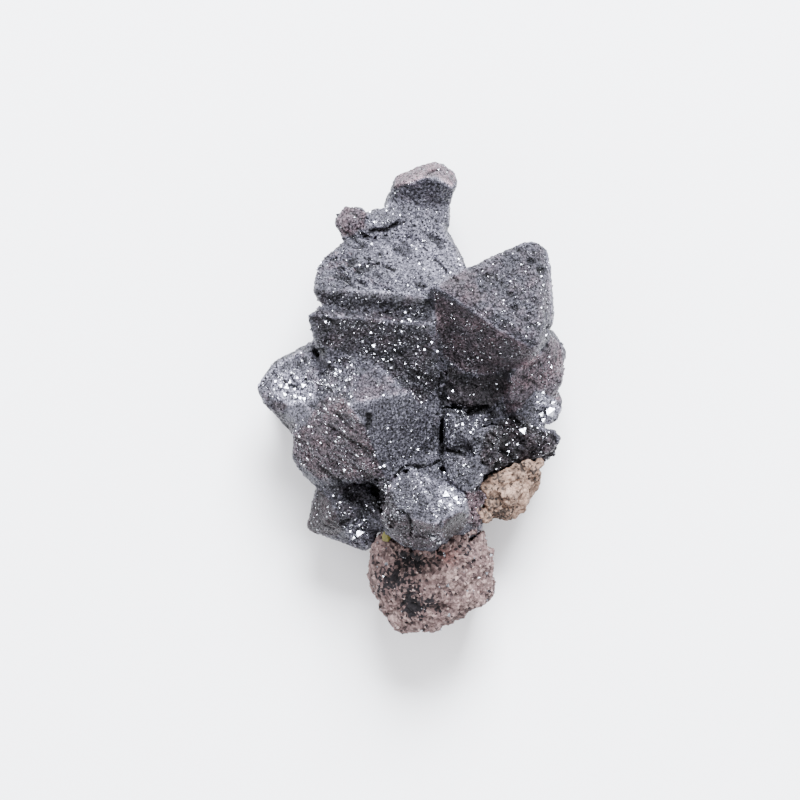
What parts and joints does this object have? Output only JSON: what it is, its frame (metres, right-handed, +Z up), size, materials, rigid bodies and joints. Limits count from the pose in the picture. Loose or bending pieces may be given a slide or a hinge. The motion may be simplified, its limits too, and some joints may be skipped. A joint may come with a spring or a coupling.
{
  "type": "hematite pseudomorph",
  "caption": "Loose mineral specimen: intergrown dark grey octahedral hematite crystals on scraps of pinkish volcanic rock.",
  "frame": {"origin": "middle of the footprint, on the surface that the specimen lies on", "axes": "+Z up from the surface towards the side that shows the best crystals, +Y along the specimen from its pink rock to its crown, +X to its right"},
  "size_m": [0.0352, 0.054, 0.0235],
  "materials": {
    "hematite": "dark grey with a dull metallic sparkle",
    "pink_rock": "granular, matte, pinkish grey",
    "tan_rock": "granular, matte, beige"
  },
  "bodies": {
    "root": {"crystal_cluster": "hematite", "pink_matrix": "pink_rock", "tan_matrix": "tan_rock"}
  },
  "joints": []
}
